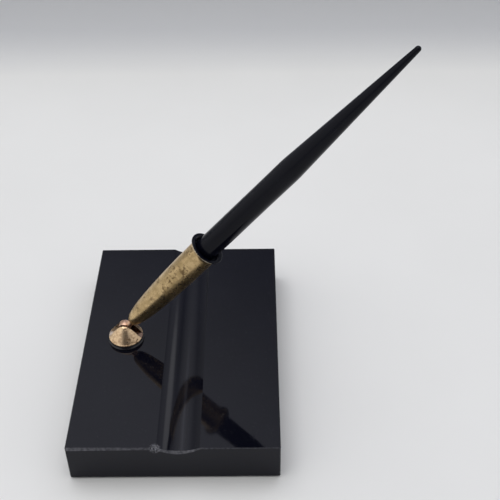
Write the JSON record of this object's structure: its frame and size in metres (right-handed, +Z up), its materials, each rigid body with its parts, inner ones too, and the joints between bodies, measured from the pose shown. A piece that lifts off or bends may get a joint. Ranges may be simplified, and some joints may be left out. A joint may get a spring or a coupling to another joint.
{
  "type": "desk pen stand",
  "caption": "Desk pen stand: black glass base with a pen channel, a swivelling and tilting brass socket, and a tapered desk pen with a plunger filler.",
  "frame": {"origin": "centre of the underside, on the surface the stand rests on", "axes": "+Z up, +X to the writer's right, +Y away from the writer along the pen channel"},
  "size_m": [0.1374, 0.127, 0.1717],
  "materials": {
    "black_glass": "polished, opaque",
    "brass": "polished, tarnished in spots",
    "bronze": "worn, coppery",
    "steel": "turned",
    "gold_plate": "polished",
    "black_plastic": "glossy",
    "ebonite": "satin",
    "rubber": "matt",
    "fibre": "matt",
    "felt": "felt"
  },
  "bodies": {
    "base": {"base_slab": "black_glass", "felt_pad": "felt", "seat_washer": "black_plastic", "stem_bush": "fibre", "clamp_washer": "steel"},
    "swivel": {"swivel_dome": "brass", "swivel_stem": "steel", "spring_washer": "steel", "stem_nut": "steel", "pivot_screw": "steel"},
    "socket": {"knuckle": "bronze", "knuckle_nut": "steel", "socket_shell": "brass", "socket_liner": "black_plastic"},
    "pen": {"nib": "gold_plate", "feed": "ebonite", "grip_section": "black_plastic", "barrel": "black_plastic", "ink_sac": "rubber", "sac_protector": "steel", "seal_ring": "rubber", "packing_nut": "ebonite"},
    "filler": {"pen_taper": "black_plastic", "plunger_tube": "steel", "tail_screw": "steel"}
  },
  "joints": [
    {"name": "swivel_turn", "type": "hinge", "parent": "base", "child": "swivel", "pos_m": [-0.0254, 0, 0.01975], "axis": [0, 0, 1], "continuous": true},
    {"name": "socket_tilt", "type": "hinge", "parent": "swivel", "child": "socket", "pos_m": [-0.0254, 0, 0.02695], "axis": [-0.0785, -0.9969, 0], "range_deg": [-31, 108]},
    {"name": "pen_lift", "type": "slide", "parent": "socket", "child": "pen", "axis": [0.6328, -0.0498, 0.7727], "range_m": [0, 0.07]},
    {"name": "filler_draw", "type": "slide", "parent": "pen", "child": "filler", "axis": [0.6328, -0.0498, 0.7727], "range_m": [0, 0.034]}
  ]
}
